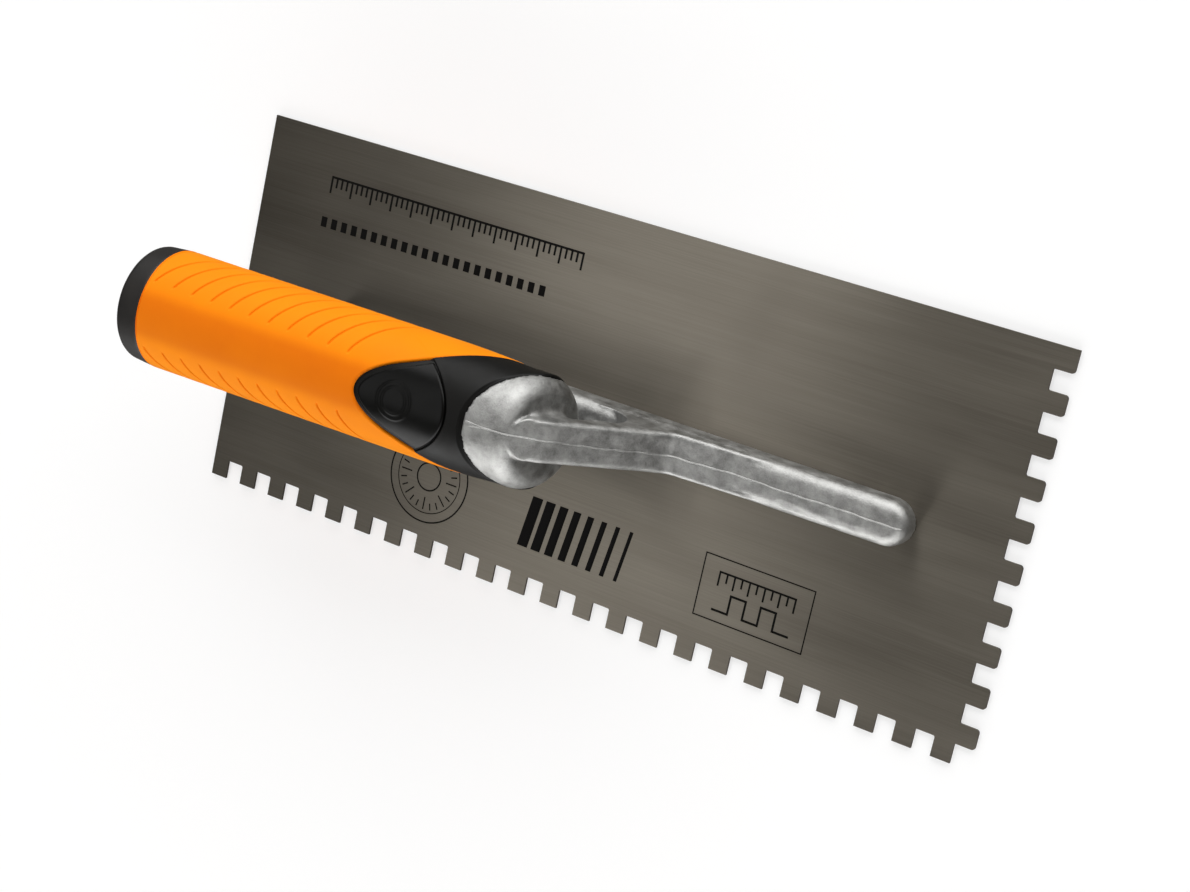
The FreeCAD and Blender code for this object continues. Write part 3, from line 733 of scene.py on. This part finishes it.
def dial_marks():
    """A plain graduated dial towards the plain short edge."""
    x, y, half = -54.0, -35.3, 0.22
    marks = ring_marks(x, y, 14.5, 0.5) + ring_marks(x, y, 11.6, 0.3) + ring_marks(x, y, 4.4, 0.5, 48)
    for i in range(24):
        turn = i * math.pi / 12
        c, s = math.cos(turn), math.sin(turn)
        low, high = (8.4 if i % 3 else 6.6), 10.6
        corners = [(low, -half), (high, -half), (high, half), (low, half)]
        marks.append([(x + r * c - t * s, y + r * s + t * c) for r, t in corners])
    return marks


def panel_marks():
    """A row of slanted bars, each narrower than the last."""
    marks = []
    for i in range(8):
        left = -18.0 + 5.0 * i
        marks.append(bar_mark(left, -45.6, left + 3.7 - 0.36 * i, -29.4, 2.2))
    return marks


def notch_marks():
    """A stretch of the notched edge in a box, with a graduated line above it."""
    marks = frame_marks(45.0, -46.3, 81.5, -26.9, 0.4)
    left, low, high, line, pitch = 50.6, -43.2, -37.6, 0.7, 5.0
    for i in range(5):
        x = left + pitch * i
        level = high if i % 2 else low
        marks.append(bar_mark(x, level, x + pitch + line, level + line))
        if i:
            marks.append(bar_mark(x, low + line, x + line, high))
    scale, thin = high + 6.0, 0.6
    marks.append(bar_mark(left, scale, left + 5 * pitch + line, scale + thin))
    for i in range(11):
        tall = 2.6 if i % 2 else 4.0
        tick = left + 2.51 * i
        marks.append(bar_mark(tick, scale - tall, tick + thin, scale))
    return marks


def printed_marks(material):
    """All the blade's marks as one sheet of ink, a few hundredths of a millimetre high."""
    points, faces = [], []
    for mark in scale_marks() + dial_marks() + panel_marks() + notch_marks():
        first, count = len(points), len(mark)
        points += [(px, py, BLADE_TOP + INK_BASE) for px, py in mark]
        points += [(px, py, BLADE_TOP + INK_LIFT) for px, py in mark]
        faces.append([first + i for i in reversed(range(count))])
        faces.append([first + count + i for i in range(count)])
        for i in range(count):
            j = (i + 1) % count
            faces.append([first + i, first + j, first + count + j, first + count + i])
    return new_object("printed_marks", points, faces, material, smooth=False)


# --- stage -------------------------------------------------------------------------------------


def floor():
    """A white paper floor that takes the trowel's shadow but throws no light back on it."""
    reach, low = 4.0, -0.0004
    corners = [(-reach, -reach, low), (reach, -reach, low), (reach, reach, low), (-reach, reach, low)]
    mesh = bpy.data.meshes.new("floor")
    mesh.from_pydata(corners, [], [(0, 1, 2, 3)])
    made = bpy.data.objects.new("floor", mesh)
    bpy.context.scene.collection.objects.link(made)
    paper = Nodes("floor_paper", Roughness=0.9, Emission_Strength=0.6)
    paper.set("Base Color", (0.4, 0.4, 0.4, 1.0))
    paper.set("Emission Color", (1.0, 1.0, 1.0, 1.0))
    mesh.materials.append(paper.material)
    made.visible_diffuse = False
    made.visible_glossy = False


def camera():
    """The camera: where it stands, what it looks at and how far it is rolled."""
    place = Vector((0.3234, 0.1446, 0.5897))
    aim = Vector((0.0118, -0.0032, 0.0200))
    roll = 99.654 * DEG
    forward = (aim - place).normalized()
    level = forward.cross(Vector((0, 0, 1))).normalized()
    upright = level.cross(forward)
    up = upright * math.cos(roll) + level * math.sin(roll)
    right = forward.cross(up)
    data = bpy.data.cameras.new("camera")
    data.sensor_width = 36.0
    data.lens = 69.79
    data.clip_start, data.clip_end = 0.01, 50.0
    made = bpy.data.objects.new("camera", data)
    bpy.context.scene.collection.objects.link(made)
    turn = Matrix((right, up, -forward)).transposed().to_4x4()
    made.matrix_world = Matrix.Translation(place) @ turn
    bpy.context.scene.camera = made


def area_light(name, place, size, energy, aim=(0, 0, 0.02)):
    data = bpy.data.lights.new(name, "AREA")
    data.shape = "RECTANGLE"
    data.size, data.size_y = size
    data.energy = energy
    made = bpy.data.objects.new(name, data)
    bpy.context.scene.collection.objects.link(made)
    made.location = place
    made.rotation_mode = "QUATERNION"
    made.rotation_quaternion = (Vector(aim) - Vector(place)).to_track_quat("-Z", "Y")


def lights():
    """A soft box low on each side, a card above the butt and a weak one in front."""
    world = bpy.data.worlds.new("world")
    bpy.context.scene.world = world
    world.use_nodes = True
    background = world.node_tree.nodes["Background"]
    background.inputs["Color"].default_value = (1.0, 0.98, 0.95, 1.0)
    background.inputs["Strength"].default_value = 0.2
    area_light("left_box", (0.1, 1.35, 0.45), (2.6, 1.3), 42.0)
    area_light("right_box", (0.0, -1.4, 0.34), (2.4, 1.0), 30.0)
    area_light("front_card", (0.6, -0.6, 0.36), (0.5, 0.4), 1.0)
    area_light("top_card", (-0.52, 0.1, 1.0), (0.3, 1.1), 2.1, (-0.52, 0.1, 0.0))


# --- scene -------------------------------------------------------------------------------------


def keep_node(name, material, bevel=0.0):
    """A CAD node that stays in view with a better material and, with a bevel, broken edges."""
    mesh = nodes[name].data
    mesh.materials.clear()
    mesh.materials.append(material)
    if bevel:
        modifier = nodes[name].modifiers.new("edges", "BEVEL")
        modifier.width = bevel * MM
        modifier.segments = 2
        modifier.limit_method = "ANGLE"
        modifier.angle_limit = 40 * DEG


def add_piece(made, slot, *replaced):
    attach(made, "root")
    if replaced:
        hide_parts(*replaced)


def main():
    zinc = zinc_steel()
    keep_node("blade", brushed_steel(), 0.12)
    for name in ("blade_rivets", "tang_washer", "tang_screw"):
        keep_node(name, zinc)
    sleeve = grip_sleeve(orange_rubber())
    sleeve.visible_glossy = False  # so that the metals show no orange
    add_piece(sleeve, "orange_grip", "grip_sleeve")
    black = black_rubber("black_core", srgb(8, 8, 7), srgb(15, 14, 12), (0.42, 0.55), 0.02, 0.15)
    gloss = black_rubber("gloss_pad", srgb(5, 5, 4), srgb(9, 9, 8), (0.26, 0.36), 0.01, 0.12)
    butt = black_rubber("butt_rubber", srgb(22, 20, 19), srgb(32, 29, 27), (0.45, 0.6))
    add_piece(handle_front(black), "black_plastic", "handle_core")
    add_piece(thumb_pad(gloss), "gloss_insert", "thumb_pad")
    add_piece(end_cap(butt), "black_rubber", "end_cap")
    aluminium = cast_aluminium()
    casting = bracket_casting(aluminium)
    add_piece(casting, "cast_aluminium", "bracket")
    for flash in parting_lines(casting, aluminium):
        add_piece(flash, "cast_aluminium")
    add_piece(printed_marks(ink()), "black_plastic")
    floor()
    camera()
    lights()
    scene = bpy.context.scene
    scene.view_settings.view_transform = "Standard"


main()
